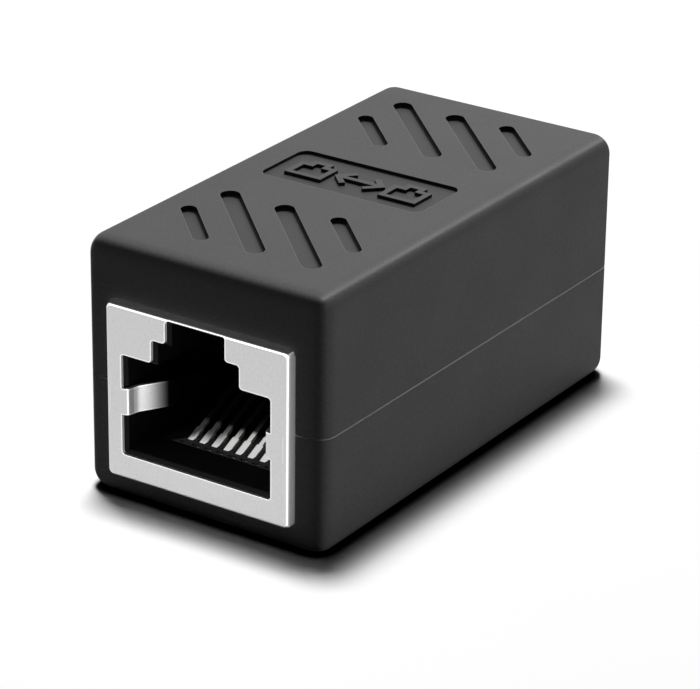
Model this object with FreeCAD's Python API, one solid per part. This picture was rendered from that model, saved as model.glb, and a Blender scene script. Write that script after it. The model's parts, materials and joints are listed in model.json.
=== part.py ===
import FreeCAD, Part
import math
import os

# RJ45 inline coupler, in millimetres.
# +Z is up, the two ports face -Y (front) and +Y (rear), and the origin is the centre of the underside.
# Two moulded shells close round two shielded jacks that stand back to back on one small board.

V = FreeCAD.Vector

# Housing shells
body_width = 20.0
body_length = 38.0
body_height = 19.2
parting_height = 8.9
edge_radius = 1.5
shell_wall = 1.3
seam_chamfer = 0.1
tongue_thickness = 0.5
tongue_height = 0.8
tongue_inset = 3.0          # from the end face to the end of the tongue
rib_thickness = 1.0
rib_places = (4.0, 11.5)    # from the end face to the middle of each cradle rib
post_width = 2.2
spigot_width = 1.2          # on top of the lower shell's posts, in the upper shell's sockets
spigot_length = 2.0
post_offset = 5.8           # from the middle plane to the axis of each locating post

# Marks on the top
label_length = 13.45
label_width = 5.7
label_radius = 0.8
label_depth = 0.25
groove_depth = 0.4
groove_angle = -45.0        # direction of every groove, seen from above
groove_pitch = 4.6          # between neighbouring groove lines, along X
group_offset = 11.0         # from the middle to the line through each group, along Y
long_groove_length = 11.6
long_groove_width = 1.42
short_groove_length = 6.4
short_groove_width = 1.15
short_groove_shift = 2.95   # along the groove's own line, away from the group's line

# Shields, drawn from sheet
shield_width = 15.2
shield_height = 13.0
shield_bottom = 2.0
shield_depth = 15.4
shield_proud = 0.75         # how far the shield stands out of the housing
shield_radius = 0.5         # outside of every bend
sheet = 0.25
seam_width = 0.15
leg_width = 1.5
leg_heights = (3.4, 9.6)    # middle of the left and right leg above the shield's underside
snap_place = 7.5            # from the shield's face to the middle of the snap window
snap_length = 2.0
snap_width = 1.8
snap_height = 6.0           # middle of the snap above the shield's underside

# Port opening: the plug's body, the step above it and the latch's slot
port_floor = 4.2
port_widths = (11.9, 6.8, 4.44)
port_heights = (7.0, 8.7, 10.38)    # top of each stage above the port's floor
port_corner_radius = 0.25
port_lip = 0.25             # how much the opening in the shield is larger, on each side
mouth_wall = 1.6
latch_depth = 10.0          # from the mouth wall's front to the end of the latch's chamber
lead_in = 0.2

# Spring fingers that ground the plug
finger_low = 6.95
finger_width = 1.95
finger_path = ((0.38, 0.0), (0.58, 0.9), (2.25, 3.6), (0.1, 7.6))    # inwards and back, from
finger_bends = (0.3, 1.0, 1.8)                                        # the opening's edge
finger_pocket = 0.85

# Contacts
contact_count = 8
contact_pitch = 1.016
contact_slope = 24.0
contact_thickness = 0.3
contact_width = 0.34
pad_width = 0.54
pad_reach = 1.9             # from the front of the bend to the end of the arm's wide part
nose_depth = 3.65           # from the shield's face to the front of the bend's middle line
nose_radius = 0.4
run_depth = 1.25            # from the port's floor down to the run's middle line
tip_depth = 12.5            # from the shield's face to the arm's free end
row_step = 2.54
jog_inset = 0.2             # from the carrier's back to the jog of the high row
tail_stub = 0.5             # how far each tail stands out behind the board

# Contact carrier
carrier_front = 3.3         # from the shield's face to the front of the tray
tray_width = 10.8
back_depth = 13.0           # from the shield's face to the wall at the end of the port
bar_depth = 3.8             # from the shield's face to the front of the cross bar
bar_thickness = 0.3
bar_height = 0.2
comb_depth = 1.6
comb_margin = 0.8
slot_wall = 0.2

# Board
board_thickness = 1.2
board_hole_width = 0.7
board_edge_hold = 0.8       # how much of the board's edge the shells' ribs hold
board_rise = 0.3            # from the shield's top to the board's top

# Clearances
window_gap = 0.08           # shield in the shells' windows and ribs
fit_gap = 0.05              # pieces that locate on each other
groove_gap = 0.02           # contacts in the carrier's grooves
over = 1.0                  # how far a cutting solid runs past the face that it opens

# Places that follow from the sizes above
face_y = -body_length / 2 - shield_proud
back_y = face_y + shield_depth
shield_top = shield_bottom + shield_height
jack_front = face_y + sheet + fit_gap
jack_back = back_y - sheet
jack_width = shield_width - 2 * (sheet + fit_gap)
jack_low = shield_bottom + sheet + fit_gap
jack_high = shield_top - sheet - fit_gap
port_back = face_y + back_depth
run_height = port_floor - run_depth
nose_y = face_y + nose_depth + nose_radius
tip_y = face_y + tip_depth
board_low = shell_wall + fit_gap
board_high = shield_top + board_rise
board_width = body_width - 2 * (shell_wall + fit_gap)
tail_end = board_thickness / 2 + tail_stub
post_y = (board_thickness / 2 + fit_gap + rib_thickness - back_y) / 2


def box(low, high):
    """Box between two opposite corners."""
    size = V(*high) - V(*low)
    return Part.makeBox(size.x, size.y, size.z, V(*low))


def rounded_wire(points, radii):
    """Closed outline through the points, with each corner rounded to its own radius."""
    corners = []
    for i, (corner, radius) in enumerate(zip(points, radii)):
        back = (points[i - 1] - corner).normalize()
        ahead = (points[(i + 1) % len(points)] - corner).normalize()
        half = back.getAngle(ahead) / 2
        reach = radius / math.tan(half)
        middle = corner + (back + ahead).normalize() * (radius / math.sin(half) - radius)
        corners.append((corner + back * reach, middle, corner + ahead * reach))
    edges = []
    for (start, middle, end), (following, _, _) in zip(corners, corners[1:] + corners[:1]):
        if not start.isEqual(end, 1e-6):
            edges.append(Part.Arc(start, middle, end).toShape())
        if not end.isEqual(following, 1e-6):
            edges.append(Part.makeLine(end, following))
    return Part.Wire(edges)


def cross_section(width, low, high, radius, y):
    """Rounded rectangle across the body at depth y, centred on the middle plane."""
    half = width / 2
    corners = [V(-half, y, low), V(half, y, low), V(half, y, high), V(-half, y, high)]
    return rounded_wire(corners, [radius] * 4)


def bar_along_y(width, low, high, radius, start, end):
    """Bar of rounded rectangular section that lies along Y."""
    outline = cross_section(width, low, high, radius, start)
    return Part.Face(outline).extrude(V(0, end - start, 0))


def edges_at(solid, y):
    """Edges of a solid that lie in the plane at depth y."""
    return [edge for edge in solid.Edges if all(abs(v.Y - y) < 1e-6 for v in edge.Vertexes)]


def bent_strip(path, radii, thickness, sweep):
    """Strip bent along a path of corner points, as wide as the sweep vector is long."""
    half = thickness / 2
    legs = [(end - start).normalize() for start, end in zip(path, path[1:])]
    normals = [leg.cross(sweep).normalize() for leg in legs]
    sides = {half: [], -half: []}
    for i, (corner, radius) in enumerate(zip(path, radii)):
        before = normals[max(i - 1, 0)]
        after = normals[min(i, len(normals) - 1)]
        mitre = (before + after) / (1 + before.dot(after))
        towards = 1 if legs[min(i, len(legs) - 1)].dot(before) > 0 else -1
        for offset, side in sides.items():
            side.append((corner + mitre * offset, radius and radius - towards * offset))
    outline = sides[half] + sides[-half][::-1]
    wire = rounded_wire([point for point, _ in outline], [radius for _, radius in outline])
    return Part.Face(wire).extrude(sweep)


def to_rear(shape):
    """The same piece at the rear end, turned half way round the vertical."""
    turned = shape.copy()
    turned.rotate(V(0, 0, 0), V(0, 0, 1), 180)
    return turned


def both_ends(shape):
    """A shape at the front end joined with its copy at the rear end."""
    return shape.fuse(to_rear(shape))


# Housing

def housing_block():
    """Outside of the closed housing, rounded on every edge."""
    block = box((-body_width / 2, -body_length / 2, 0), (body_width / 2, body_length / 2, body_height))
    return block.makeFillet(edge_radius, block.Edges)


def housing_inside(start, end):
    """Hollow of the housing between two depths."""
    half = body_width / 2 - shell_wall
    return box((-half, start, shell_wall), (half, end, body_height - shell_wall))


def port_window():
    """Opening in the front wall that the shield stands out of."""
    wall_y = -body_length / 2
    return bar_along_y(shield_width + 2 * window_gap, shield_bottom - window_gap, shield_top + window_gap,
                       shield_radius + window_gap, wall_y - over, wall_y + shell_wall + over)


def cradle_ribs():
    """Ribs that fill the space between the housing and the shields, at both ends."""
    half = shield_width / 2 + window_gap
    seat = box((-half, -body_length / 2, shield_bottom - window_gap), (half, 0, shield_top + window_gap))
    ribs = []
    for place in rib_places:
        start = -body_length / 2 + place - rib_thickness / 2
        ribs.append(housing_inside(start, start + rib_thickness).cut(seat))
    return both_ends(ribs[0].fuse(ribs[1:]))


def board_ribs():
    """Two frames of ribs that hold the board's edge between them."""
    start = -board_thickness / 2 - fit_gap - rib_thickness
    half = board_width / 2 - board_edge_hold
    view = box((-half, start - over, board_low + board_edge_hold),
               (half, over, board_high - board_edge_hold))
    return both_ends(housing_inside(start, start + rib_thickness).cut(view))


def posts(width, low, high):
    """One square post in front of the board and one behind it, in opposite corners."""
    half = width / 2
    post = box((post_offset - half, -post_y - half, low), (post_offset + half, -post_y + half, high))
    return both_ends(post)


def side_tongues(gap):
    """Tongues along both long walls that line the shells up, grown by the gap."""
    inner = body_width / 2 - shell_wall + fit_gap - gap
    half_length = body_length / 2 - tongue_inset + gap
    tongue = box((inner, -half_length, parting_height - gap),
                 (inner + tongue_thickness + 2 * gap, half_length, parting_height + tongue_height + gap))
    return both_ends(tongue)


def half_space(low, high):
    """Everything between two heights, wider than the housing."""
    return box((-body_width, -body_length, low), (body_width, body_length, high))


def shell(low, high, inside_low, inside_high):
    """One half of the housing with its ribs, bevelled round the seam."""
    half = housing_block().common(half_space(low, high))
    seam = [edge for edge in half.Edges if all(abs(v.Z - parting_height) < 1e-6 for v in edge.Vertexes)]
    half = half.makeChamfer(seam_chamfer, seam)
    wall_to_wall = body_length / 2 - shell_wall
    half = half.cut(housing_inside(-wall_to_wall, wall_to_wall)).cut(both_ends(port_window()))
    ribs = cradle_ribs().fuse(board_ribs()).common(half_space(inside_low, inside_high))
    return half.fuse(ribs)


def groove(x, y, length, width):
    """Round-ended groove cut down into the top."""
    half_length = length / 2
    half_width = width / 2
    floor = body_height - groove_depth
    corners = [V(-half_length, -half_width, floor), V(half_length, -half_width, floor),
               V(half_length, half_width, floor), V(-half_length, half_width, floor)]
    cut = Part.Face(rounded_wire(corners, [half_width] * 4)).extrude(V(0, 0, groove_depth + over))
    cut.rotate(V(0, 0, 0), V(0, 0, 1), groove_angle)
    cut.translate(V(x, y, 0))
    return cut


def grip_grooves():
    """Two groups of four slanted grooves, one near each end."""
    along = V(math.cos(math.radians(groove_angle)), math.sin(math.radians(groove_angle)), 0)
    cuts = []
    for side in (-1, 1):
        middle = V(side * groove_pitch / 2, -group_offset, 0)
        outer = V(3 * side * groove_pitch / 2, -group_offset, 0) - along * (side * short_groove_shift)
        cuts.append(groove(middle.x, middle.y, long_groove_length, long_groove_width))
        cuts.append(groove(outer.x, outer.y, short_groove_length, short_groove_width))
    return both_ends(cuts[0].fuse(cuts[1:]))


def label_recess():
    """Shallow field in the middle of the top."""
    half_length = label_length / 2
    half_width = label_width / 2
    floor = body_height - label_depth
    corners = [V(-half_length, -half_width, floor), V(half_length, -half_width, floor),
               V(half_length, half_width, floor), V(-half_length, half_width, floor)]
    return Part.Face(rounded_wire(corners, [label_radius] * 4)).extrude(V(0, 0, label_depth + over))


def upper_shell():
    """Top half: grooves, label field and the sockets for the spigots."""
    part = shell(parting_height, body_height, parting_height + fit_gap, body_height)
    part = part.fuse(posts(post_width, parting_height + fit_gap, body_height - shell_wall))
    socket_top = parting_height + spigot_length + fit_gap
    part = part.cut(posts(spigot_width + 2 * fit_gap, parting_height, socket_top))
    part = part.cut(side_tongues(fit_gap))
    return part.cut(grip_grooves()).cut(label_recess()).removeSplitter()


def lower_shell():
    """Bottom half: tongues and spigots stand up from the parting plane."""
    part = shell(0, parting_height, 0, parting_height)
    part = part.fuse(posts(post_width, shell_wall, parting_height))
    part = part.fuse(posts(spigot_width, parting_height, parting_height + spigot_length))
    return part.fuse(side_tongues(0)).removeSplitter()


# Jack

def port_outline(grow, radius, y):
    """Stepped outline of the port at depth y, larger by grow on every side."""
    low = port_floor - grow
    right = []
    for width, height in zip(port_widths, port_heights):
        side = width / 2 + grow
        top = port_floor + height + grow
        right += [V(side, y, low), V(side, y, top)]
        low = top
    left = [V(-point.x, y, point.z) for point in reversed(right)]
    return rounded_wire(right + left, [radius] * (len(right) + len(left)))


def port_cut(grow, radius, start, end):
    """Solid of the stepped outline between two depths."""
    return Part.Face(port_outline(grow, radius, start)).extrude(V(0, end - start, 0))


def finger():
    """Spring finger on the left of the opening: folded back, curved in, and out again at its end."""
    edge = -port_widths[0] / 2 - port_lip
    corners = ((-over, 0),) + finger_path
    path = [V(edge + inward, face_y + sheet / 2 + back, finger_low) for inward, back in corners]
    return bent_strip(path, (0,) + finger_bends + (0,), sheet, V(0, 0, finger_width))


def mirrored(shape):
    """The shape on the other side of the middle plane."""
    return shape.mirror(V(0, 0, 0), V(1, 0, 0))


def leg(side, height, grow):
    """Solder leg that runs from a side wall of the shield back through the board."""
    inner = side * (shield_width / 2 - sheet)
    outer = side * shield_width / 2
    middle = shield_bottom + height
    return box((min(inner, outer) - grow, back_y - sheet, middle - leg_width / 2 - grow),
               (max(inner, outer) + grow, tail_end, middle + leg_width / 2 + grow))


def legs(grow):
    """Both solder legs of the front shield."""
    return leg(-1, leg_heights[0], grow).fuse(leg(1, leg_heights[1], grow))


def snaps(gap):
    """Places on both sides where the shield snaps over the jack's body."""
    middle = V(0, face_y + snap_place, shield_bottom + snap_height)
    reach = shield_width / 2 + gap
    return box((-reach, middle.y - snap_length / 2 - gap, middle.z - snap_width / 2 - gap),
               (reach, middle.y + snap_length / 2 + gap, middle.z + snap_width / 2 + gap))


def shield():
    """Front shield: a drawn cup with the stepped opening, fingers, snap windows and legs."""
    inner = shield_width / 2 - sheet
    cup = bar_along_y(shield_width, shield_bottom, shield_top, shield_radius, face_y, back_y)
    cup = cup.makeFillet(shield_radius, edges_at(cup, face_y))
    hollow = box((-inner, face_y + sheet, shield_bottom + sheet), (inner, back_y + over, shield_top - sheet))
    seam = box((-seam_width / 2, face_y + mouth_wall, shield_bottom - over),
               (seam_width / 2, back_y + over, shield_bottom + sheet + fit_gap))
    cup = cup.cut(hollow).cut(port_cut(port_lip, port_corner_radius, face_y - over, face_y + over))
    cup = cup.cut(snaps(fit_gap)).cut(seam)
    fingers = finger().fuse(mirrored(finger()))
    return cup.fuse(fingers).fuse(legs(0)).removeSplitter()


def finger_pockets():
    """Reliefs in the side walls that the fingers are pressed into."""
    half = port_widths[0] / 2 + finger_pocket
    return box((-half, face_y, finger_low - fit_gap),
               (half, port_back - comb_depth, finger_low + finger_width + fit_gap))


def jack_body():
    """Plastic body of the front jack, open below for the carrier's tray."""
    body = box((-jack_width / 2, jack_front, jack_low), (jack_width / 2, jack_back, jack_high))
    chamber_front = jack_front + mouth_wall
    mouth = port_cut(0, 0, jack_front - over, chamber_front + over)
    flare = Part.makeLoft([port_outline(lead_in, 0, jack_front), port_outline(0, 0, jack_front + lead_in)],
                          True, True)
    main = box((-port_widths[0] / 2, chamber_front, port_floor),
               (port_widths[0] / 2, jack_back + over, port_floor + port_heights[0]))
    latch = box((-port_widths[1] / 2, chamber_front, port_floor),
                (port_widths[1] / 2, jack_front + latch_depth, port_floor + port_heights[2]))
    bay = box((-tray_width / 2, face_y + carrier_front, jack_low - over),
              (tray_width / 2, jack_back + over, port_floor + over))
    nubs = snaps(0).common(box((-body_width, jack_front, jack_low), (body_width, jack_back, jack_high)))
    body = body.fuse(nubs)
    return body.cut(mouth).cut(flare).cut(main).cut(latch).cut(bay).cut(finger_pockets()).removeSplitter()


# Contacts and their carrier

def contact_x(number):
    """Sideways place of a contact, numbered from the left of its own port."""
    return (number - (contact_count + 1) / 2) * contact_pitch


def arm_height(y):
    """Height of the spring arm's middle line at a depth."""
    slope = math.radians(contact_slope)
    return run_height + (y - nose_y + nose_radius / math.tan(slope / 2)) * math.tan(slope)


def row_height(number):
    """Height at which a contact's tail meets the board: odd ones low, even ones high."""
    return run_height if number % 2 else run_height + row_step


def contact_line(number):
    """Corner points (y, z) and bend radii from the tail round the front bend to the tip."""
    slope = math.radians(contact_slope)
    rise = row_height(number) - run_height
    jog_y = jack_back - jog_inset
    line = [(tail_end, row_height(number), 0)]
    if rise > 0:
        line += [(jog_y, row_height(number), 0), (jog_y - rise, run_height, 0)]
    return line + [(nose_y - nose_radius / math.tan(slope / 2), run_height, nose_radius),
                   (tip_y, arm_height(tip_y), 0)]


def contact_strip(line, x, width):
    """Strip along a line of (y, z, radius) corners, centred on x."""
    path = [V(x - width / 2, y, z) for y, z, _ in line]
    radii = [radius for _, _, radius in line]
    return bent_strip(path, radii, contact_thickness, V(width, 0, 0))


def contact(number):
    """Sprung contact whose arm is wide just behind its front bend."""
    x = contact_x(number)
    pad_ends = (nose_y, face_y + nose_depth + pad_reach)
    pad_line = [(y, arm_height(y), 0) for y in pad_ends]
    wire = contact_strip(contact_line(number), x, contact_width)
    return wire.fuse(contact_strip(pad_line, x, pad_width)).removeSplitter()


def nose_slots(x):
    """Two slots in the tray for one contact's front bend, either side of the cross bar."""
    half = pad_width / 2 + fit_gap
    low = run_height - contact_thickness / 2 - groove_gap
    front = nose_y - nose_radius - contact_thickness / 2 - fit_gap
    bar_front = face_y + bar_depth
    bar_back = bar_front + bar_thickness
    arm_clear = face_y + nose_depth + pad_reach + fit_gap
    slots = box((x - half, front, low), (x + half, arm_clear, port_floor + over))
    bar = box((x - pad_width, bar_front, port_floor - bar_height),
              (x + pad_width, bar_back, port_floor + over))
    return slots.cut(bar)


def wire_groove(number):
    """Groove from below that a contact is pressed into, taller where the high row leaves the carrier."""
    x = contact_x(number)
    half = contact_width / 2 + groove_gap
    top = contact_thickness / 2 + groove_gap
    groove = box((x - half, nose_y, jack_low - over), (x + half, jack_back + over, run_height + top))
    rise = row_height(number) - run_height
    if rise > 0:
        front = jack_back - jog_inset - rise - top
        groove = groove.fuse(box((x - half, front, jack_low - over),
                                 (x + half, jack_back + over, port_floor - bar_height)))
        groove = groove.fuse(box((x - half, port_back + slot_wall, jack_low - over),
                                 (x + half, jack_back + over, row_height(number) + top)))
    return groove


def tip_comb():
    """Comb at the end of the port that keeps the contacts' tips apart."""
    half = contact_x(contact_count) + comb_margin
    top = arm_height(tip_y) + comb_margin
    comb = box((-half, port_back - comb_depth, port_floor), (half, port_back, top))
    for number in range(1, contact_count + 1):
        x = contact_x(number)
        slot_half = contact_width / 2 + 2 * fit_gap
        comb = comb.cut(box((x - slot_half, port_back - comb_depth - over, port_floor),
                            (x + slot_half, port_back - slot_wall, top + over)))
    return comb


def contact_carrier():
    """Insert that holds the contacts: a tray in the port's floor and the wall at its end."""
    tray = box((-tray_width / 2 + fit_gap, face_y + carrier_front + fit_gap, jack_low),
               (tray_width / 2 - fit_gap, jack_back, port_floor))
    wall = box((-port_widths[0] / 2 + fit_gap, port_back, port_floor + fit_gap),
               (port_widths[0] / 2 - fit_gap, jack_back, port_floor + port_heights[0] - fit_gap))
    foot = box((-tray_width / 2 + fit_gap, port_back, port_floor),
               (tray_width / 2 - fit_gap, jack_back, port_floor + fit_gap))
    part = tray.fuse([wall, foot, tip_comb()])
    for number in range(1, contact_count + 1):
        part = part.cut(nose_slots(contact_x(number))).cut(wire_groove(number))
    return part.removeSplitter()


# Board

def tail_hole(x, z):
    """Hole through the board for one tail, drawn eight-sided to keep the model light."""
    reach = board_hole_width / 2 / math.cos(math.pi / 8)
    corners = []
    for turn in range(8):
        angle = (turn + 0.5) * math.pi / 4
        corners.append(V(x + reach * math.cos(angle), -board_thickness, z + reach * math.sin(angle)))
    return Part.Face(rounded_wire(corners, [0] * 8)).extrude(V(0, 2 * board_thickness, 0))


def circuit_board():
    """Upright board between the jacks, with a hole for each tail and a slot for each shield leg."""
    half = board_thickness / 2
    board = box((-board_width / 2, -half, board_low), (board_width / 2, half, board_high))
    for number in range(1, contact_count + 1):
        for row in (run_height, run_height + row_step):
            board = board.cut(tail_hole(contact_x(number), row))
    return board.cut(both_ends(legs(fit_gap)))


def build_all():
    """Every piece by name."""
    pieces = {"upper_shell": upper_shell(), "lower_shell": lower_shell(), "circuit_board": circuit_board()}
    jack = {"shield": shield(), "jack_body": jack_body(), "contact_carrier": contact_carrier()}
    for number in range(1, contact_count + 1):
        jack[f"contact_{number}"] = contact(number)
    for name, shape in jack.items():
        pieces[f"front_{name}"] = shape
        pieces[f"rear_{name}"] = to_rear(shape)
    return pieces


os.makedirs("parts", exist_ok=True)
for name, shape in build_all().items():
    shape.exportStep(f"parts/{name}.step")
    print(name, "solids", len(shape.Solids), "valid", shape.isValid(), "volume", round(shape.Volume, 3))
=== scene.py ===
import json
import logging
import math
from dataclasses import dataclass, field
from enum import Enum

import bmesh
import bpy
from mathutils import Matrix, Vector

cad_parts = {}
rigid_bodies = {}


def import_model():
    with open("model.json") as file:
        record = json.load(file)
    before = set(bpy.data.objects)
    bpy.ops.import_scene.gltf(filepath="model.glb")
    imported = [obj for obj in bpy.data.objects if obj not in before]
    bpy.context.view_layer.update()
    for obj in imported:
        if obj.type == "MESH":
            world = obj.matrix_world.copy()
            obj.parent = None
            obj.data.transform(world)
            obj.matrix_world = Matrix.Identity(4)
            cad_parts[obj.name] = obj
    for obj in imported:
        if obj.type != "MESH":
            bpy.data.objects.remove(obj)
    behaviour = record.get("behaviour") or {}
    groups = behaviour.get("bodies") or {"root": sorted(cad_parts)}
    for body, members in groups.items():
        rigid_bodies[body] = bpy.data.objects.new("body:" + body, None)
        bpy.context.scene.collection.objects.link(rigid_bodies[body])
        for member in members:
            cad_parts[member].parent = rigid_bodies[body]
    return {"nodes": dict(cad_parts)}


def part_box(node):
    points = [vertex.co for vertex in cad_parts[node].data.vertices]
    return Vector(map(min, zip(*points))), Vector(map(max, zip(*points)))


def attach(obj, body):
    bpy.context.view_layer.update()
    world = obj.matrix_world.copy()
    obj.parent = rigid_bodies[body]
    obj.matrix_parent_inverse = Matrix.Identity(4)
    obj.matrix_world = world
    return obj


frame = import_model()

log = logging.getLogger("inline_coupler")

MM = 0.001
ROOT_BODY = "root"
CONTACTS_PER_PORT = 8
WAVE_LENGTH = math.tau / 20      # of Blender's wave texture, at a scale of one
PAST_ANY_NORMAL = 2.0            # more than any part of a normal can be
EDGE_SEARCH_SAMPLES = 8
BEVEL_SAMPLES = 6
INNER_BEVEL_SAMPLES = 4
CONTACT_SHADOW_SAMPLES = 16

Rgba = tuple[float, float, float, float]
Point = tuple[float, float]


class End(Enum):
    """The two ends of the coupler."""

    FRONT = "front"
    REAR = "rear"


class Reach(Enum):
    """What a lamp lights."""

    FLOOR = "floor"              # the floor alone
    MOULDINGS = "mouldings"      # every piece but the shields
    SHIELDS = "shields"          # the shields alone
    PORT = "port"                # the shields, the contacts and their carriers


def linear(colour: str) -> Rgba:
    """Turn an sRGB hex colour into linear light.

    Args:
        colour: Six hex digits after a hash sign.

    Returns:
        Linear red, green and blue, and an alpha of one.
    """
    # The numbers in the curve are those of the sRGB standard.
    shares = [int(colour[start:start + 2], 16) / 255 for start in (1, 3, 5)]
    red, green, blue = (s / 12.92 if s <= 0.04045 else ((s + 0.055) / 1.055) ** 2.4 for s in shares)
    return red, green, blue, 1.0


def per_metre(feature_mm: float) -> float:
    """Texture scale that gives features of a size in millimetres."""
    return 1 / (feature_mm * MM)


def add_node(tree: bpy.types.NodeTree, kind: str, settings: dict | None = None,
             links: dict | None = None, **attributes: object) -> bpy.types.Node:
    """Add a node with its settings and the links into it.

    Args:
        tree: Node tree that gets the node.
        kind: Blender's name of the node's type.
        settings: Values by input socket, given by name or number.
        links: Output sockets by the input socket that each feeds.
        **attributes: Attributes of the node itself, such as blend_type.

    Returns:
        The new node.
    """
    node = tree.nodes.new(kind)
    for name, value in attributes.items():
        setattr(node, name, value)
    for socket, value in (settings or {}).items():
        node.inputs[socket].default_value = value
    for socket, source in (links or {}).items():
        tree.links.new(source, node.inputs[socket])
    return node


def convex_edges(tree: bpy.types.NodeTree, reach_mm: float, strength: float) -> bpy.types.NodeSocket:
    """Add nodes that find a piece's outer edges.

    Args:
        tree: Node tree that gets the nodes.
        reach_mm: How far from an edge it is still found.
        strength: How strongly an edge shows, before it is held to one.

    Returns:
        Socket that is one at a sharp outer edge and nought on a flat.
    """
    # Looking inwards, a flat is open all round and a sharp edge is half open.
    within = add_node(tree, "ShaderNodeAmbientOcclusion", {"Distance": reach_mm * MM}, inside=True,
                      only_local=True, samples=EDGE_SEARCH_SAMPLES)
    share = add_node(tree, "ShaderNodeMapRange", {"From Min": 1.0, "From Max": 0.5, "To Max": strength},
                     {"Value": within.outputs["AO"]})
    return add_node(tree, "ShaderNodeClamp", links={"Value": share.outputs["Result"]}).outputs["Result"]


def tight_edges(tree: bpy.types.NodeTree, radius_mm: float) -> bpy.types.NodeSocket:
    """Add nodes that make a rounded edge shade in a narrower band than its radius gives.

    The cube of each part of the normal leans it towards the nearest flat. The form itself stays as it is.

    Args:
        tree: Node tree that gets the nodes.
        radius_mm: Radius of the break on edges that are drawn sharp.

    Returns:
        Socket with the normal.
    """
    plain = add_node(tree, "ShaderNodeBevel", {"Radius": radius_mm * MM},
                     samples=BEVEL_SAMPLES).outputs["Normal"]
    square = add_node(tree, "ShaderNodeVectorMath", links={0: plain, 1: plain}, operation="MULTIPLY")
    cube = add_node(tree, "ShaderNodeVectorMath", links={0: square.outputs["Vector"], 1: plain},
                    operation="MULTIPLY")
    return add_node(tree, "ShaderNodeVectorMath", links={0: cube.outputs["Vector"]},
                    operation="NORMALIZE").outputs["Vector"]


def fold_lines(tree: bpy.types.NodeTree, radius_mm: float, width: float) -> bpy.types.NodeSocket:
    """Add nodes that find the middle of a rounded fold.

    The sum of the fourth powers of a normal's parts is one on a flat and a half in the middle of a fold.

    Args:
        tree: Node tree that gets the nodes.
        radius_mm: Radius of the break on edges that are drawn sharp.
        width: How far the sum may be above a half on the line.

    Returns:
        Socket that is one in the middle of a fold and nought on a flat.
    """
    plain = add_node(tree, "ShaderNodeBevel", {"Radius": radius_mm * MM},
                     samples=BEVEL_SAMPLES).outputs["Normal"]
    square = add_node(tree, "ShaderNodeVectorMath", links={0: plain, 1: plain},
                      operation="MULTIPLY").outputs["Vector"]
    powers = add_node(tree, "ShaderNodeVectorMath", links={0: square, 1: square}, operation="DOT_PRODUCT")
    return add_node(tree, "ShaderNodeMapRange", {"From Min": 0.5 + width, "From Max": 0.5},
                    {"Value": powers.outputs["Value"]}).outputs["Result"]


def new_material(name: str) -> tuple[bpy.types.Material, bpy.types.NodeTree]:
    """Make a material with an empty node tree.

    Args:
        name: Name of the material.

    Returns:
        The material and its tree.
    """
    material = bpy.data.materials.new(name)
    material.use_nodes = True
    material.node_tree.nodes.clear()
    return material, material.node_tree


def seen_rays(tree: bpy.types.NodeTree) -> bpy.types.NodeSocket:
    """Add nodes that pick out the rays in which the set shows white.

    Args:
        tree: Node tree that gets the nodes.

    Returns:
        Socket that is one for camera, glossy and transmission rays, and nought for the others.
    """
    path = add_node(tree, "ShaderNodeLightPath")
    mirrored = add_node(tree, "ShaderNodeMath", links={
        0: path.outputs["Is Glossy Ray"], 1: path.outputs["Is Transmission Ray"]}, operation="MAXIMUM")
    seen = add_node(tree, "ShaderNodeMath", links={
        0: path.outputs["Is Camera Ray"], 1: mirrored.outputs["Value"]}, operation="MAXIMUM")
    return seen.outputs["Value"]


# ---------------------------------------------------------------- finishes

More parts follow.
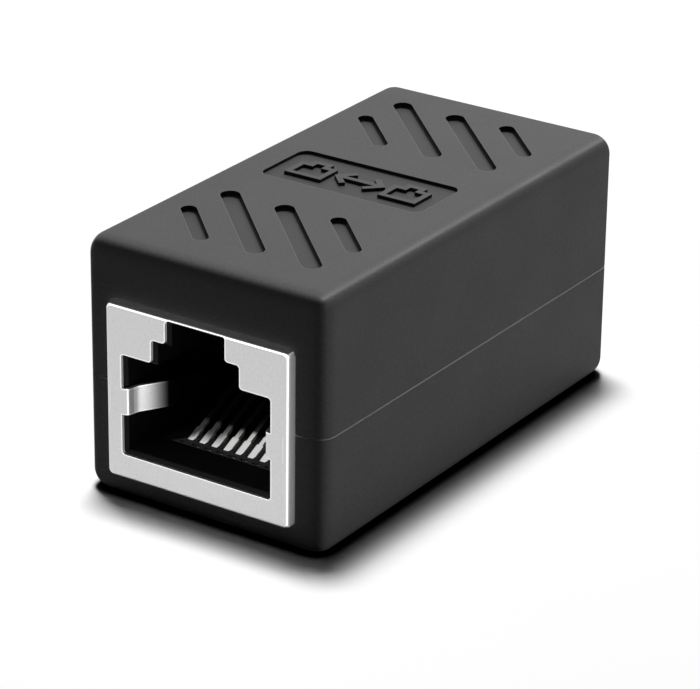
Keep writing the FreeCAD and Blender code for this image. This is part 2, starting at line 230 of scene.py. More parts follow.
@dataclass(frozen=True)
class TexturedAbs:
    """Black ABS, injection moulded in a spark-eroded tool.

    The eroded tool leaves a fine even grain, so the surface is matt and its highlights are wide and soft.
    Outer edges carry a painted highlight, a little paler. Three more tones are set by place to bring out
    the form:
    painted shade makes the floors of the grooves and the label field darker and the upper part of their
    walls nearly black, and a painted highlight makes a strip along the seam pale.
    """

    name: str = "spark_eroded_abs"
    colour: str = "#3b3b3b"
    tint_colour: str = "#474747"
    # Painted highlight on outer edges.
    highlight_colour: str = "#6e6e6e"
    # Painted shade on the floors of the grooves and the label field.
    recess_floor_shade_colour: str = "#353535"
    # Painted shade on the upper part of the recesses' walls.
    recess_wall_shade_colour: str = "#060606"
    # Painted highlight on a strip along the seam.
    seam_highlight_colour: str = "#b0b0b0"
    roughness: float = 0.5
    roughness_drift: float = 0.04
    specular_level: float = 0.09
    ior: float = 1.53
    # The pits of such a tool are about 0.05 mm wide; at 0.14 mm they are coarse enough to show.
    grain_mm: float = 0.14
    grain_depth_mm: float = 0.005
    grain_detail: float = 2.0
    grain_roughness: float = 0.6
    drift_mm: float = 5.0        # size of the patches in which the roughness drifts
    drift_detail: float = 3.0
    noise_low: float = 0.3       # the part of each noise that is spread over its whole range
    noise_high: float = 0.7
    edge_mm: float = 0.07        # reach of the painted edge highlight, and radius given to sharp ones
    edge_strength: float = 1.0
    rim_mm: float = 0.02         # below the top, where the painted shade on a recess's wall starts
    wall_mm: float = 0.28        # below the top, where that painted shade ends
    wall_lean: float = 0.3       # most that a wall's normal may lean up or down
    floor_mm: float = 0.1        # least depth of a recess's floor
    recess_mm: float = 0.45      # a little more than the depth of the grooves, 0.4
    floor_lean: float = 0.97     # least upward part of a floor's normal
    parting_mm: float = 0.07     # height of the painted highlight along the seam, within the seam's bevel of 0.1

    def build(self, top: float, parting: float) -> bpy.types.Material:
        """Make the material.

        Args:
            top: Height of the shell's top face.
            parting: Height of the seam between the shells.

        Returns:
            The material.
        """
        material, tree = new_material(self.name)
        place = add_node(tree, "ShaderNodeTexCoord").outputs["Object"]
        grain = add_node(tree, "ShaderNodeTexNoise",
                         {"Scale": per_metre(self.grain_mm), "Detail": self.grain_detail,
                          "Roughness": self.grain_roughness}, {"Vector": place})
        drift = add_node(tree, "ShaderNodeTexNoise",
                         {"Scale": per_metre(self.drift_mm), "Detail": self.drift_detail},
                         {"Vector": place})
        share = add_node(tree, "ShaderNodeMapRange",
                         {"From Min": self.noise_low, "From Max": self.noise_high},
                         {"Value": grain.outputs["Fac"]})
        speckle = add_node(tree, "ShaderNodeMix", {6: linear(self.colour), 7: linear(self.tint_colour)},
                           {0: share.outputs["Result"]}, data_type="RGBA")
        # Painted highlights and painted shade are laid over the grain.
        grain_with_painted_light = self.add_painted_light(tree, speckle.outputs[2], top, parting)
        rough = add_node(tree, "ShaderNodeMapRange",
                         {"From Min": self.noise_low, "From Max": self.noise_high,
                          "To Min": self.roughness - self.roughness_drift,
                          "To Max": self.roughness + self.roughness_drift},
                         {"Value": drift.outputs["Fac"]})
        bump = add_node(tree, "ShaderNodeBump", {"Strength": 1.0, "Distance": self.grain_depth_mm * MM},
                        {"Height": grain.outputs["Fac"], "Normal": tight_edges(tree, self.edge_mm)})
        shader = add_node(tree, "ShaderNodeBsdfPrincipled",
                          {"IOR": self.ior, "Specular IOR Level": self.specular_level},
                          {"Base Color": grain_with_painted_light, "Roughness": rough.outputs["Result"],
                           "Normal": bump.outputs["Normal"]})
        add_node(tree, "ShaderNodeOutputMaterial", links={"Surface": shader.outputs["BSDF"]})
        return material

    def add_painted_light(self, tree: bpy.types.NodeTree, colour: bpy.types.NodeSocket, top: float,
                 parting: float) -> bpy.types.NodeSocket:
        """Add painted highlights on outer edges and the seam, and painted shade in the recesses, to a
        colour.

        Args:
            tree: Node tree that gets the nodes.
            colour: Socket with the plain colour.
            top: Height of the shell's top face.
            parting: Height of the seam between the shells.

        Returns:
            Socket with the finished colour.
        """
        form = add_node(tree, "ShaderNodeNewGeometry")
        height = add_node(tree, "ShaderNodeSeparateXYZ", links={0: form.outputs["Position"]}).outputs["Z"]
        lean = add_node(tree, "ShaderNodeSeparateXYZ", links={0: form.outputs["True Normal"]}).outputs["Z"]
        recess = self.add_band(tree, height, top - self.wall_mm * MM, top - self.rim_mm * MM)
        deep = self.add_band(tree, height, top - self.recess_mm * MM, top - self.floor_mm * MM)
        flat = self.add_band(tree, lean, self.floor_lean, PAST_ANY_NORMAL)
        steep = self.add_band(tree, lean, -self.wall_lean, self.wall_lean)
        seam = self.add_band(tree, height, parting - self.parting_mm * MM, parting)
        edge_highlight_mask = convex_edges(tree, self.edge_mm, self.edge_strength)
        # Painted shade on recess floors and upper walls, painted highlights on outer edges and along the
        # seam.
        layers = ((self.recess_floor_shade_colour, (deep, flat)), (self.highlight_colour, (edge_highlight_mask, edge_highlight_mask)),
                  (self.recess_wall_shade_colour, (recess, steep)), (self.seam_highlight_colour, (seam, seam)))
        for tone, (first, second) in layers:
            both = add_node(tree, "ShaderNodeMath", links={0: first, 1: second}, operation="MULTIPLY")
            colour = add_node(tree, "ShaderNodeMix", {7: linear(tone)},
                              {0: both.outputs["Value"], 6: colour}, data_type="RGBA").outputs[2]
        return colour

    def add_band(self, tree: bpy.types.NodeTree, value: bpy.types.NodeSocket, low: float,
                 high: float) -> bpy.types.NodeSocket:
        """Add a test whether a value lies between two bounds.

        Args:
            tree: Node tree that gets the nodes.
            value: Socket with the value.
            low: Lower bound.
            high: Upper bound.

        Returns:
            Socket that is one between the bounds and nought elsewhere.
        """
        above = add_node(tree, "ShaderNodeMath", {1: low}, {0: value}, operation="GREATER_THAN")
        below = add_node(tree, "ShaderNodeMath", {1: high}, {0: value}, operation="LESS_THAN")
        both = add_node(tree, "ShaderNodeMath", links={
            0: above.outputs["Value"], 1: below.outputs["Value"]}, operation="MULTIPLY")
        return both.outputs["Value"]


@dataclass(frozen=True)
class GlassFilledPbt:
    """Black PBT with glass fibre, injection moulded in a plain tool.

    The fibres lie just under the skin, so the surface is a little satiny and faintly streaked. Its black
    is deeper than the shell's.
    """

    name: str = "glass_filled_pbt"
    colour: str = "#161616"
    streak_colour: str = "#1f1f1f"
    roughness: float = 0.45
    roughness_drift: float = 0.06
    specular_level: float = 0.08
    ior: float = 1.58
    # Glass fibre is about 0.3 mm long and 0.01 mm thick; the streaks are drawn 0.06 mm wide to show.
    fibre_mm: float = 0.06
    fibre_stretch: float = 0.2
    fibre_detail: float = 2.0
    fibre_depth_mm: float = 0.003
    edge_mm: float = 0.05

    def build(self) -> bpy.types.Material:
        """Make the material.

        Returns:
            The material.
        """
        material, tree = new_material(self.name)
        place = add_node(tree, "ShaderNodeTexCoord").outputs["Object"]
        along = add_node(tree, "ShaderNodeMapping", {"Scale": (1.0, self.fibre_stretch, 1.0)},
                         {"Vector": place})
        fibre = add_node(tree, "ShaderNodeTexNoise",
                         {"Scale": per_metre(self.fibre_mm), "Detail": self.fibre_detail},
                         {"Vector": along.outputs["Vector"]})
        tone = add_node(tree, "ShaderNodeMix", {6: linear(self.colour), 7: linear(self.streak_colour)},
                        {0: fibre.outputs["Fac"]}, data_type="RGBA")
        rough = add_node(tree, "ShaderNodeMapRange",
                         {"To Min": self.roughness - self.roughness_drift,
                          "To Max": self.roughness + self.roughness_drift},
                         {"Value": fibre.outputs["Fac"]})
        edge = add_node(tree, "ShaderNodeBevel", {"Radius": self.edge_mm * MM},
                        samples=INNER_BEVEL_SAMPLES)
        bump = add_node(tree, "ShaderNodeBump", {"Strength": 1.0, "Distance": self.fibre_depth_mm * MM},
                        {"Height": fibre.outputs["Fac"], "Normal": edge.outputs["Normal"]})
        shader = add_node(tree, "ShaderNodeBsdfPrincipled",
                          {"IOR": self.ior, "Specular IOR Level": self.specular_level},
                          {"Base Color": tone.outputs[2], "Roughness": rough.outputs["Result"],
                           "Normal": bump.outputs["Normal"]})
        add_node(tree, "ShaderNodeOutputMaterial", links={"Surface": shader.outputs["BSDF"]})
        return material


@dataclass(frozen=True)
class SatinNickel:
    """Brass sheet, blanked and drawn, then plated with satin nickel.

    The plating is even and slightly frosted, so it holds a broad grey sheen with a very fine grain. Its
    edges and the middles of its bends are drawn nearly white, a painted highlight. Two more settings go by
    place to bring out the form: the side walls and fingers are rougher than the face, and the colour goes
    dark with depth, which stands for the shade inside the port.
    """

    name: str = "satin_nickel_plate"
    colour: str = "#cbcbcb"
    grain_colour: str = "#c3c3c3"
    # Painted highlight on edges and the middles of bends.
    highlight_colour: str = "#fbfbfb"
    shade_colour: str = "#0c0c0c"
    roughness: float = 0.3
    roughness_drift: float = 0.05
    wall_roughness: float = 0.25     # added on the side walls and fingers
    wall_lean: float = 0.66          # least sideways part of their normals
    # Plating grain is a few hundredths of a millimetre; at 0.1 mm it is coarse enough to show.
    grain_mm: float = 0.1
    grain_depth_mm: float = 0.0012
    grain_detail: float = 3.0
    noise_low: float = 0.35          # the part of the grain that is spread over both tones
    noise_high: float = 0.65
    edge_mm: float = 0.08            # radius given to sharp edges
    highlight_reach_mm: float = 0.12         # how far from an edge the painted highlight reaches
    highlight_strength: float = 1.6
    fold_width: float = 0.06         # of the line in the middle of a bend, as fold_lines takes it
    fold_mm: float = 0.6             # from the face; a little more than the bends' radius, 0.5
    bright_mm: float = 1.3           # depth behind the face down to which the colour is full
    shade_mm: float = 2.9            # depth from which it is at its darkest

    def build(self, face: float) -> bpy.types.Material:
        """Make the material.

        Args:
            face: Distance of the shields' faces from the middle of the coupler.

        Returns:
            The material.
        """
        material, tree = new_material(self.name)
        place = add_node(tree, "ShaderNodeTexCoord").outputs["Object"]
        grain = add_node(tree, "ShaderNodeTexNoise",
                         {"Scale": per_metre(self.grain_mm), "Detail": self.grain_detail},
                         {"Vector": place})
        share = add_node(tree, "ShaderNodeMapRange",
                         {"From Min": self.noise_low, "From Max": self.noise_high},
                         {"Value": grain.outputs["Fac"]})
        tone = add_node(tree, "ShaderNodeMix", {6: linear(self.colour), 7: linear(self.grain_colour)},
                        {0: share.outputs["Result"]}, data_type="RGBA")
        rough = add_node(tree, "ShaderNodeMapRange",
                         {"To Min": self.roughness - self.roughness_drift,
                          "To Max": self.roughness + self.roughness_drift},
                         {"Value": grain.outputs["Fac"]})
        along = add_node(tree, "ShaderNodeSeparateXYZ", links={0: place}).outputs["Y"]
        outwards = add_node(tree, "ShaderNodeMath", links={0: along}, operation="ABSOLUTE").outputs["Value"]
        folded = add_node(tree, "ShaderNodeMath", {1: face - self.fold_mm * MM}, {0: outwards},
                          operation="GREATER_THAN")
        plain = add_node(tree, "ShaderNodeBevel", {"Radius": self.edge_mm * MM},
                         samples=BEVEL_SAMPLES)
        normal = add_node(tree, "ShaderNodeMix", links={
            0: folded.outputs["Value"], 4: plain.outputs["Normal"], 5: tight_edges(tree, self.edge_mm)},
            data_type="VECTOR")
        bump = add_node(tree, "ShaderNodeBump", {"Strength": 1.0, "Distance": self.grain_depth_mm * MM},
                        {"Height": grain.outputs["Fac"], "Normal": normal.outputs[1]})
        form = add_node(tree, "ShaderNodeNewGeometry").outputs["True Normal"]
        facing = add_node(tree, "ShaderNodeSeparateXYZ", links={0: form}).outputs["X"]
        turned = add_node(tree, "ShaderNodeMath", links={0: facing}, operation="ABSOLUTE")
        walls = add_node(tree, "ShaderNodeMath", {1: self.wall_lean}, {0: turned.outputs["Value"]},
                         operation="GREATER_THAN")
        rougher = add_node(tree, "ShaderNodeMath", {1: self.wall_roughness}, {
            0: walls.outputs["Value"], 2: rough.outputs["Result"]}, operation="MULTIPLY_ADD")
        # Painted highlight on outer edges and the middles of bends.
        edges = add_node(tree, "ShaderNodeMath", links={
            0: convex_edges(tree, self.highlight_reach_mm, self.highlight_strength),
            1: fold_lines(tree, self.edge_mm, self.fold_width)}, operation="MAXIMUM")
        highlit_tone = add_node(tree, "ShaderNodeMix", {7: linear(self.highlight_colour)},
                             {0: edges.outputs["Value"], 6: tone.outputs[2]}, data_type="RGBA")
        open_share = add_node(tree, "ShaderNodeMapRange", {"From Min": face - self.shade_mm * MM,
                                                           "From Max": face - self.bright_mm * MM},
                              {"Value": outwards})
        plating = add_node(tree, "ShaderNodeMix", {6: linear(self.shade_colour)},
                           {0: open_share.outputs["Result"], 7: highlit_tone.outputs[2]}, data_type="RGBA")
        shader = add_node(tree, "ShaderNodeBsdfPrincipled", {"Metallic": 1.0},
                          {"Base Color": plating.outputs[2], "Roughness": rougher.outputs["Value"],
                           "Normal": bump.outputs["Normal"]})
        add_node(tree, "ShaderNodeOutputMaterial", links={"Surface": shader.outputs["BSDF"]})
        return material


@dataclass(frozen=True)
class PlatedBronze:
    """Phosphor bronze wire, drawn and formed, then plated in two ways.

    The pad where the plug's blades land is bright nickel. The rest is matt tin, and it is drawn darker
    than tin, which stands for the shade inside the port. Fine lines along the wire widen the highlights.
    """

    name: str = "plated_phosphor_bronze"
    pad_colour: str = "#ececea"
    wire_colour: str = "#3a3a3a"
    line_colour: str = "#dcdcda"
    roughness: float = 0.5
    roughness_drift: float = 0.05
    # Drawing lines run along the wire, about 0.02 mm apart; at 0.06 mm they are coarse enough to show.
    line_mm: float = 0.06
    line_stretch: float = 0.1
    line_detail: float = 2.0
    line_depth_mm: float = 0.001
    edge_mm: float = 0.05
    pad_end_mm: float = 6.1      # from the shield's face to the end of the bright plating
    fade_mm: float = 0.3         # over which the bright plating ends

    def build(self, face: float) -> bpy.types.Material:
        """Make the material.

        Args:
            face: Distance of the shields' faces from the middle of the coupler.

        Returns:
            The material.
        """
        material, tree = new_material(self.name)
        place = add_node(tree, "ShaderNodeTexCoord").outputs["Object"]
        along = add_node(tree, "ShaderNodeMapping", {"Scale": (1.0, self.line_stretch, 1.0)},
                         {"Vector": place})
        lines = add_node(tree, "ShaderNodeTexNoise",
                         {"Scale": per_metre(self.line_mm), "Detail": self.line_detail},
                         {"Vector": along.outputs["Vector"]})
        nickel = add_node(tree, "ShaderNodeMix", {6: linear(self.pad_colour), 7: linear(self.line_colour)},
                          {0: lines.outputs["Fac"]}, data_type="RGBA")
        depth = add_node(tree, "ShaderNodeSeparateXYZ", links={0: place}).outputs["Y"]
        outwards = add_node(tree, "ShaderNodeMath", links={0: depth}, operation="ABSOLUTE")
        pad_end = face - self.pad_end_mm * MM
        plated = add_node(tree, "ShaderNodeMapRange", {"From Min": pad_end - self.fade_mm * MM,
                                                       "From Max": pad_end},
                          {"Value": outwards.outputs["Value"]})
        tone = add_node(tree, "ShaderNodeMix", {6: linear(self.wire_colour)},
                        {0: plated.outputs["Result"], 7: nickel.outputs[2]}, data_type="RGBA")
        rough = add_node(tree, "ShaderNodeMapRange",
                         {"To Min": self.roughness - self.roughness_drift,
                          "To Max": self.roughness + self.roughness_drift},
                         {"Value": lines.outputs["Fac"]})
        edge = add_node(tree, "ShaderNodeBevel", {"Radius": self.edge_mm * MM},
                        samples=INNER_BEVEL_SAMPLES)
        bump = add_node(tree, "ShaderNodeBump", {"Strength": 1.0, "Distance": self.line_depth_mm * MM},
                        {"Height": lines.outputs["Fac"], "Normal": edge.outputs["Normal"]})
        shader = add_node(tree, "ShaderNodeBsdfPrincipled", {"Metallic": 1.0},
                          {"Base Color": tone.outputs[2], "Roughness": rough.outputs["Result"],
                           "Normal": bump.outputs["Normal"]})
        add_node(tree, "ShaderNodeOutputMaterial", links={"Surface": shader.outputs["BSDF"]})
        return material


@dataclass(frozen=True)
class EpoxyLaminate:
    """Glass epoxy laminate, pressed, with a green solder mask.

    The cloth under the mask shows as a faint square weave, and the mask itself is glossy.
    """

    name: str = "glass_epoxy_laminate"
    colour: str = "#1d4a2c"
    thread_colour: str = "#2a5c3a"
    roughness: float = 0.26
    thread_roughness: float = 0.36
    ior: float = 1.52
    thread_mm: float = 0.5       # spacing of the glass cloth's threads
    thread_depth_mm: float = 0.004

    def build(self) -> bpy.types.Material:
        """Make the material.

        Returns:
            The material.
        """
        material, tree = new_material(self.name)
        place = add_node(tree, "ShaderNodeTexCoord").outputs["Object"]
        scale = per_metre(self.thread_mm) * WAVE_LENGTH
        warp = add_node(tree, "ShaderNodeTexWave", {"Scale": scale}, {"Vector": place}, bands_direction="X")
        weft = add_node(tree, "ShaderNodeTexWave", {"Scale": scale}, {"Vector": place}, bands_direction="Z")
        cloth = add_node(tree, "ShaderNodeMath", links={0: warp.outputs["Fac"], 1: weft.outputs["Fac"]},
                         operation="MULTIPLY").outputs["Value"]
        tone = add_node(tree, "ShaderNodeMix", {6: linear(self.colour), 7: linear(self.thread_colour)},
                        {0: cloth}, data_type="RGBA")
        rough = add_node(tree, "ShaderNodeMapRange", {"To Min": self.roughness,
                                                      "To Max": self.thread_roughness}, {"Value": cloth})
        bump = add_node(tree, "ShaderNodeBump", {"Strength": 1.0, "Distance": self.thread_depth_mm * MM},
                        {"Height": cloth})
        shader = add_node(tree, "ShaderNodeBsdfPrincipled", {"IOR": self.ior},
                          {"Base Color": tone.outputs[2], "Roughness": rough.outputs["Result"],
                           "Normal": bump.outputs["Normal"]})
        add_node(tree, "ShaderNodeOutputMaterial", links={"Surface": shader.outputs["BSDF"]})
        return material


@dataclass(frozen=True)
class WhiteSweep:
    """Matt white studio floor.

    It shows white to the camera, in reflections and through glass, and keeps the shadow of what stands on
    it. To the other rays it is darker, so it throws little light back up. Close to what stands on it, a
    painted contact shadow draws it black.
    """

    name: str = "matt_white_floor"
    colour: str = "#ffffff"
    bounce_colour: str = "#5a5a5a"
    # Painted contact shadow.
    contact_shadow_colour: str = "#000000"
    contact_shadow_mm: float = 1.0        # how far the painted contact shadow reaches, fading
    black_share: float = 0.5     # openness at which the floor is black
    white_share: float = 0.85    # openness at which it has its full colour

    def build(self) -> bpy.types.Material:
        """Make the material.

        Returns:
            The material.
        """
        material, tree = new_material(self.name)
        # Painted contact shadow: black where what stands on the floor closes it in.
        near = add_node(tree, "ShaderNodeAmbientOcclusion", {"Distance": self.contact_shadow_mm * MM},
                        samples=CONTACT_SHADOW_SAMPLES)
        open_share = add_node(tree, "ShaderNodeMapRange",
                              {"From Min": self.black_share, "From Max": self.white_share},
                              {"Value": near.outputs["AO"]})
        tone = add_node(tree, "ShaderNodeMix", {6: linear(self.contact_shadow_colour), 7: linear(self.colour)},
                        {0: open_share.outputs["Result"]}, data_type="RGBA")
        lit = add_node(tree, "ShaderNodeBsdfDiffuse", links={"Color": tone.outputs[2]})
        bounce = add_node(tree, "ShaderNodeBsdfDiffuse", {"Color": linear(self.bounce_colour)})
        shader = add_node(tree, "ShaderNodeMixShader", links={
            0: seen_rays(tree), 1: bounce.outputs["BSDF"], 2: lit.outputs["BSDF"]})
        add_node(tree, "ShaderNodeOutputMaterial", links={"Surface": shader.outputs["Shader"]})
        return material


# ---------------------------------------------------------------- pieces

def dress(node: str, material: bpy.types.Material) -> None:
    """Give a CAD node its finish.

    Args:
        node: Name of the CAD node.
        material: Material that takes the place of the plain one.
    """
    piece = frame["nodes"][node]
    for slot in piece.material_slots:
        slot.material = material
    log.info("%s: %s", node, material.name)


@dataclass
class PortMark:
    """Raised mark in the label field: a port, a two-headed arrow and a port, in one line.

    It is a mesh of its own that looks moulded in one with the upper shell, and it is as high as the label
    field is deep.
    """

    half_length: float = 5.5 * MM
    port_width: float = 3.1 * MM
    port_height: float = 2.9 * MM
    step_width: float = 1.6 * MM
    step_height: float = 0.6 * MM
    stroke: float = 0.45 * MM
    arrow_half: float = 2.15 * MM
    wing: float = 1.15 * MM      # how far an arrow head's strokes reach, along and across
    height: float = 0.25 * MM
    sunk: float = 0.05 * MM      # how far it reaches into the shell
    edge: float = 0.04 * MM
    edge_segments: int = 3

    def port_outline(self, inset: float) -> list[Point]:
        """Outline of the port sign, larger or smaller by an inset.

        Args:
            inset: Distance that the outline is drawn in by.

        Returns:
            Corner points round the sign, about its own middle.
        """
        half = self.port_width / 2 - inset
        step = self.step_width / 2 - inset
        low = -self.port_height / 2 + inset
        high = self.port_height / 2 - inset
        shoulder = high - self.step_height
        return [(-half, low), (half, low), (half, shoulder), (step, shoulder), (step, high), (-step, high),
                (-step, shoulder), (-half, shoulder)]

    def arrow_outline(self) -> list[Point]:
        """Outline of the two-headed arrow, whose heads are strokes at 45 degrees.

        Returns:
            Corner points round the arrow, about its own middle.
        """
        half = self.stroke / 2
        slant = self.stroke / math.sqrt(2)
        joint = self.arrow_half - 2 * slant - half
        back = self.arrow_half - self.wing
        right = [(joint, -half), (back - slant, slant - self.wing), (back, -self.wing),
                 (self.arrow_half, 0.0), (back, self.wing), (back - slant, self.wing - slant),
                 (joint, half)]
        left = [(-x, -y) for x, y in right]
        return right + left

    def build(self, low: Vector) -> bpy.types.Object:
        """Make the mark.

        Args:
            low: Middle of the label field's floor.

        Returns:
            The finished piece.
        """
        mesh = bpy.data.meshes.new("port_mark")
        form = bmesh.new()
        middle = self.half_length - self.port_width / 2
        for side in (-1, 1):
            self.add_ring(form, side * middle)
        self.add_plate(form, self.arrow_outline())
        bmesh.ops.recalc_face_normals(form, faces=form.faces)
        form.to_mesh(mesh)
        form.free()
        piece = bpy.data.objects.new("port_mark", mesh)
        piece.location = (low.x, low.y, low.z - self.sunk)
        bpy.context.collection.objects.link(piece)
        bevel = piece.modifiers.new("moulded_edges", "BEVEL")
        bevel.width = self.edge
        bevel.segments = self.edge_segments
        bevel.limit_method = "ANGLE"
        return piece

    def add_plate(self, form: bmesh.types.BMesh, outline: list[Point]) -> None:
        """Add a raised plate with a given outline.

        Args:
            form: Mesh that gets the plate.
            outline: Corner points in order.
        """
        rise = self.height + self.sunk
        lower = [form.verts.new((x, y, 0.0)) for x, y in outline]
        upper = [form.verts.new((x, y, rise)) for x, y in outline]
        form.faces.new(upper)
        form.faces.new(lower[::-1])
        for i in range(len(outline)):
            following = (i + 1) % len(outline)
            form.faces.new((lower[i], lower[following], upper[following], upper[i]))

    def add_ring(self, form: bmesh.types.BMesh, centre: float) -> None:
        """Add one port sign as a raised ring.

        Args:
            form: Mesh that gets the ring.
            centre: Place of the sign's middle along the label.
        """
        rise = self.height + self.sunk
        rings = []
        for inset in (0.0, self.stroke):
            for z in (0.0, rise):
                rings.append([form.verts.new((centre + x, y, z)) for x, y in self.port_outline(inset)])
        outer_low, outer_high, inner_low, inner_high = rings
        count = len(outer_low)
        for i in range(count):
            j = (i + 1) % count
            form.faces.new((outer_low[i], outer_low[j], outer_high[j], outer_high[i]))
            form.faces.new((inner_low[j], inner_low[i], inner_high[i], inner_high[j]))
            form.faces.new((outer_high[i], outer_high[j], inner_high[j], inner_high[i]))
            form.faces.new((outer_low[j], outer_low[i], inner_low[i], inner_low[j]))


@dataclass
class Housing:
    """The two moulded shells, with the raised mark in the label field."""

    label_depth: float = 0.25 * MM
    finish: TexturedAbs = field(default_factory=TexturedAbs)
    mark: PortMark = field(default_factory=PortMark)

    def build(self) -> None:
        """Dress both shells and add the mark."""
        low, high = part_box("upper_shell")
        material = self.finish.build(high[2], low[2])
        for node in ("upper_shell", "lower_shell"):
            dress(node, material)
        middle = (Vector(low) + Vector(high)) / 2
        floor = Vector((middle.x, middle.y, high[2] - self.label_depth))
        piece = self.mark.build(floor)
        piece.data.materials.append(material)
        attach(piece, ROOT_BODY)
        log.info("%s: %s", piece.name, material.name)


@dataclass
class Jack:
    """One shielded jack: its shield, body, contact carrier and contacts."""

    end: End
    body_material: bpy.types.Material
    shield_material: bpy.types.Material
    contact_material: bpy.types.Material

    def build(self) -> None:
        """Dress every piece of the jack."""
        prefix = self.end.value
        dress(f"{prefix}_shield", self.shield_material)
        dress(f"{prefix}_jack_body", self.body_material)
        dress(f"{prefix}_contact_carrier", self.body_material)
        for number in range(1, CONTACTS_PER_PORT + 1):
            dress(f"{prefix}_contact_{number}", self.contact_material)


@dataclass
class LinkBoard:
    """The small upright board that joins the two jacks."""

    finish: EpoxyLaminate = field(default_factory=EpoxyLaminate)

    def build(self) -> None:
        """Dress the board."""
        dress("circuit_board", self.finish.build())


# ---------------------------------------------------------------- studio

@dataclass(frozen=True)
class Softbox:
    """A rectangular area lamp aimed at the coupler, which lights only what it is linked to.

    Distances are in metres. The level is the radiance of a white matt surface that faces the lamp.
    """

    name: str
    direction: tuple[float, float, float]
    distance: float
    width: float
    height: float
    level: float
    reach: Reach

    def build(self, target: Vector, lit: bpy.types.Collection) -> bpy.types.Object:
        """Hang the lamp.

        Args:
            target: Point that it faces.
            lit: Collection of the objects that it lights.

        Returns:
            The lamp.
        """
        lamp = bpy.data.lights.new(self.name, "AREA")
        lamp.shape = "RECTANGLE"
        lamp.size = self.width
        lamp.size_y = self.height
        # A small lamp's power over pi squared and the square of the distance is that radiance.
        lamp.energy = self.level * math.pi ** 2 * self.distance ** 2
        holder = bpy.data.objects.new(self.name, lamp)
        towards = Vector(self.direction).normalized()
        holder.location = target + towards * self.distance
        holder.rotation_euler = towards.to_track_quat("Z", "Y").to_euler()
        bpy.context.collection.objects.link(holder)
        holder.light_linking.receiver_collection = lit
        return holder


@dataclass(frozen=True)
class Camera:
    """The camera, held by its aim point, its angles and its distance.

    Distances are in metres. The lens and the sensor are in millimetres, as Blender counts them.
    """

    aim: tuple[float, float, float] = (0.159 * MM, -1.223 * MM, 7.073 * MM)
    distance: float = 248.31 * MM
    azimuth: float = math.radians(33.546)
    elevation: float = math.radians(24.023)
    roll: float = math.radians(0.724)
    lens: float = 178.706
    sensor: float = 36.0
    nearest: float = 0.01
    farthest: float = 50.0

    def build(self) -> None:
        """Set up the scene's camera."""
        back = Vector((math.cos(self.elevation) * math.sin(self.azimuth),
                       -math.cos(self.elevation) * math.cos(self.azimuth), math.sin(self.elevation)))
        level_right = (-back).cross(Vector((0, 0, 1))).normalized()
        level_up = level_right.cross(-back)
        right = level_right * math.cos(self.roll) + level_up * math.sin(self.roll)
        up = level_up * math.cos(self.roll) - level_right * math.sin(self.roll)
        data = bpy.data.cameras.new("camera")
        data.lens = self.lens
        data.sensor_width = self.sensor
        data.clip_start = self.nearest
        data.clip_end = self.farthest
        holder = bpy.data.objects.new("camera", data)
        turn = Matrix((right, up, back)).transposed().to_4x4()
        holder.matrix_world = Matrix.Translation(Vector(self.aim) + back * self.distance) @ turn
        bpy.context.collection.objects.link(holder)
        bpy.context.scene.camera = holder


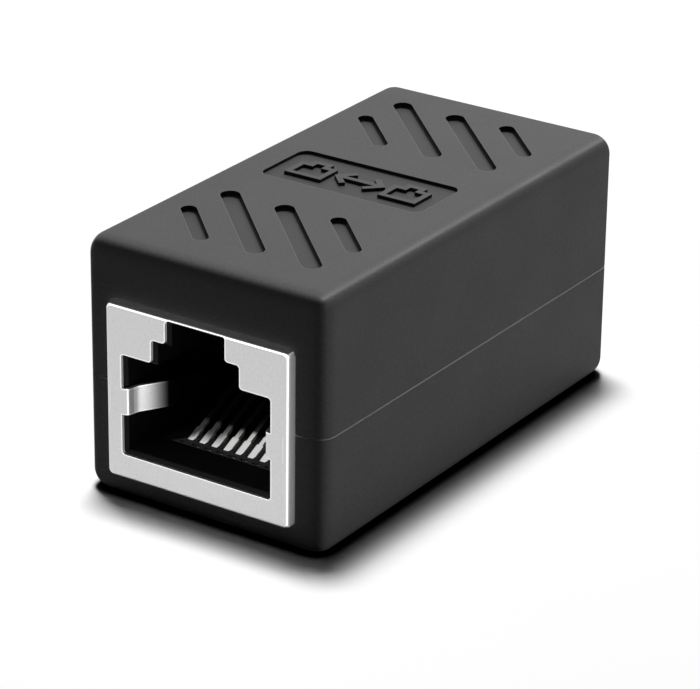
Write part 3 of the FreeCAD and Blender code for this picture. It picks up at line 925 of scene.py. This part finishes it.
@dataclass
class Studio:
    """Floor, surroundings, lamps and camera.

    The first lamp lights the floor, where the coupler casts its soft shadow. The next three light every
    piece but the shields: from high behind, from the right and from lower behind. The last two light the
    shields, and the first of them lights the contacts and their carriers too.
    """

    floor_half: float = 1.5      # metres
    ambient: str = "#181818"
    backdrop: str = "#ffffff"
    sweep: WhiteSweep = field(default_factory=WhiteSweep)
    camera: Camera = field(default_factory=Camera)
    # Name, direction, distance, width, height, level and reach.
    lamps: tuple[Softbox, ...] = (
        Softbox("floor_softbox", (-0.122, 0.122, 1.0), 0.9, 0.16, 0.16, 1.04, Reach.FLOOR),
        Softbox("key_softbox", (-0.12, 0.5, 0.86), 0.9, 0.25, 0.25, 1.12, Reach.MOULDINGS),
        Softbox("side_softbox", (1.0, 0.3, 0.05), 0.5, 0.2, 0.1, 0.45, Reach.MOULDINGS),
        Softbox("rim_softbox", (0.0, 0.76, 0.65), 0.6, 0.2, 0.2, 0.4, Reach.MOULDINGS),
        Softbox("port_softbox", (-0.24, -0.58, 0.78), 0.3, 0.03, 0.03, 1.2, Reach.PORT),
        Softbox("finger_softbox", (0.95, -0.26, -0.1), 0.3, 0.03, 0.03, 0.4, Reach.SHIELDS),
    )

    def build(self) -> None:
        """Build the whole set."""
        floor = self.build_floor()
        self.build_world()
        target = Vector(self.camera.aim)
        lit = self.sort_receivers(floor)
        for lamp in self.lamps:
            holder = lamp.build(target, lit[lamp.reach])
            if lamp.reach in (Reach.PORT, Reach.SHIELDS):
                # Only the shields shade these lamps. The housing, the jack bodies and the floor let them
                # through, and the finger lamp hangs below the floor's level.
                holder.light_linking.blocker_collection = lit[Reach.SHIELDS]
        self.camera.build()
        bpy.context.scene.view_settings.view_transform = "Standard"

    def sort_receivers(self, floor: bpy.types.Object) -> dict[Reach, bpy.types.Collection]:
        """Sort the objects by the lamps that light them.

        Args:
            floor: The studio floor.

        Returns:
            One collection of objects for each reach.
        """
        lit = {reach: bpy.data.collections.new(f"{reach.value}_receivers") for reach in Reach}
        for piece in bpy.context.scene.objects:
            if piece.type == "MESH" and piece is not floor:
                is_shield = piece.name.endswith("_shield")
                lit[Reach.SHIELDS if is_shield else Reach.MOULDINGS].objects.link(piece)
                if is_shield or "_contact_" in piece.name:
                    lit[Reach.PORT].objects.link(piece)
        lit[Reach.FLOOR].objects.link(floor)
        return lit

    def build_floor(self) -> bpy.types.Object:
        """Lay the floor that the coupler stands on.

        Returns:
            The floor.
        """
        mesh = bpy.data.meshes.new("floor")
        half = self.floor_half
        mesh.from_pydata([(-half, -half, 0), (half, -half, 0), (half, half, 0), (-half, half, 0)], [],
                         [(0, 1, 2, 3)])
        floor = bpy.data.objects.new("floor", mesh)
        mesh.materials.append(self.sweep.build())
        bpy.context.collection.objects.link(floor)
        return floor

    def build_world(self) -> None:
        """Surround the set with a dim room that shows white where it is seen."""
        world = bpy.data.worlds.new("studio")
        world.use_nodes = True
        tree = world.node_tree
        tree.nodes.clear()
        room = add_node(tree, "ShaderNodeBackground", {"Color": linear(self.ambient), "Strength": 1.0})
        white = add_node(tree, "ShaderNodeBackground", {"Color": linear(self.backdrop), "Strength": 1.0})
        both = add_node(tree, "ShaderNodeMixShader", links={
            0: seen_rays(tree), 1: room.outputs["Background"], 2: white.outputs["Background"]})
        add_node(tree, "ShaderNodeOutputWorld", links={"Surface": both.outputs["Shader"]})
        bpy.context.scene.world = world


# ---------------------------------------------------------------- making

def clear_startup() -> None:
    """Take away the objects that Blender's own first file holds, where there are any."""
    for name in ("Cube", "Light", "Camera"):
        if name in bpy.data.objects:
            bpy.data.objects.remove(bpy.data.objects[name], do_unlink=True)


def main() -> None:
    """Build the coupler's looks and its studio."""
    logging.basicConfig(level=logging.INFO, format="%(name)s: %(message)s")
    clear_startup()
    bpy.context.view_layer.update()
    Housing().build()
    LinkBoard().build()
    body_material = GlassFilledPbt().build()
    # The shields' faces lie at the same distance from the middle, one in front and one behind.
    face = -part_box("front_shield")[0][1]
    shield_material = SatinNickel().build(face)
    contact_material = PlatedBronze().build(face)
    for end in End:
        Jack(end, body_material, shield_material, contact_material).build()
    Studio().build()


if __name__ == "__main__":
    main()
